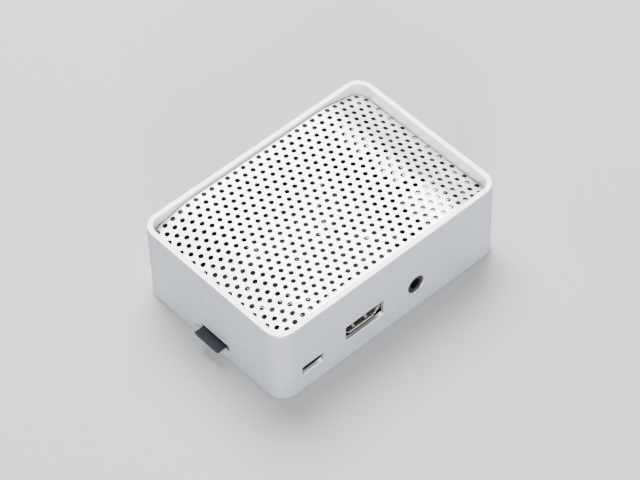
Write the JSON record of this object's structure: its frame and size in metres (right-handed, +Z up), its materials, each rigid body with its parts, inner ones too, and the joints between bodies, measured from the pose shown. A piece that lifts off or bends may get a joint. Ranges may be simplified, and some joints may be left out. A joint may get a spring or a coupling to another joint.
{
  "type": "single board computer",
  "caption": "Cased single board computer: silver frame with rounded corners, perforated lid with bent ends, port windows and a memory card slot.",
  "frame": {"origin": "centre of the case's underside, on the bottom plate's flat face, which is the plane that the case stands on", "axes": "+X along the case from the card end to the USB end, -Y out of the long wall with the power, video and audio sockets, +Z up through the perforated lid"},
  "size_m": [0.0955, 0.064, 0.0305],
  "materials": {
    "case_aluminium": "satin, bead blasted and clear anodised",
    "grille_aluminium": "bright satin, perforated",
    "screw_steel": "satin",
    "plated_steel": "bright plated",
    "socket_plastic": "moulded black",
    "connector_plastic": "moulded cream",
    "contact_gold": "gold plated",
    "board_laminate": "green solder mask",
    "chip_epoxy": "moulded epoxy",
    "inductor_body": "pressed ferrite",
    "capacitor_body": "moulded",
    "card_plastic": "slate, slightly glossy",
    "led_lens": "clear lens"
  },
  "bodies": {
    "case": {"case_frame": "case_aluminium", "bottom_plate": "case_aluminium", "bottom_screw_1": "screw_steel", "bottom_screw_2": "screw_steel", "bottom_screw_3": "screw_steel", "bottom_screw_4": "screw_steel", "circuit_board": "board_laminate", "board_screw_1": "screw_steel", "board_screw_2": "screw_steel", "board_screw_3": "screw_steel", "board_screw_4": "screw_steel", "power_socket_shell": "plated_steel", "hdmi_shell": "plated_steel", "usb_shell_1": "plated_steel", "usb_shell_2": "plated_steel", "ethernet_shell": "plated_steel", "sd_socket_cover": "plated_steel", "crystal_main": "plated_steel", "crystal_network": "plated_steel", "power_socket_tongue": "socket_plastic", "hdmi_tongue": "socket_plastic", "audio_jack": "socket_plastic", "usb_insert_1": "socket_plastic", "usb_insert_2": "socket_plastic", "ethernet_insert": "socket_plastic", "gpio_header": "socket_plastic", "sd_socket_base": "socket_plastic", "camera_connector": "connector_plastic", "display_connector": "connector_plastic", "audio_contact": "contact_gold", "processor": "chip_epoxy", "memory_chip": "chip_epoxy", "network_chip": "chip_epoxy", "power_regulator": "chip_epoxy", "usb_power_switch": "chip_epoxy", "power_inductor_1": "inductor_body", "power_inductor_2": "inductor_body", "input_fuse": "capacitor_body", "bulk_capacitor_1": "capacitor_body", "bulk_capacitor_2": "capacitor_body", "led_power": "led_lens", "led_activity": "led_lens"},
    "lid": {"top_grille": "grille_aluminium"},
    "card": {"sd_card": "card_plastic"},
    "camera_latch_body": {"camera_latch": "socket_plastic"},
    "display_latch_body": {"display_latch": "socket_plastic"}
  },
  "joints": [
    {"name": "lid_lift", "type": "slide", "parent": "case", "child": "lid", "axis": [0, 0, 1], "range_m": [0, 0.03]},
    {"name": "card_slide", "type": "slide", "parent": "case", "child": "card", "axis": [-1, 0, 0], "range_m": [-0.0036, 0.0125]},
    {"name": "camera_latch_lift", "type": "slide", "parent": "case", "child": "camera_latch_body", "axis": [0, 0, 1], "range_m": [0, 0.0012]},
    {"name": "display_latch_lift", "type": "slide", "parent": "case", "child": "display_latch_body", "axis": [0, 0, 1], "range_m": [0, 0.0012]}
  ]
}
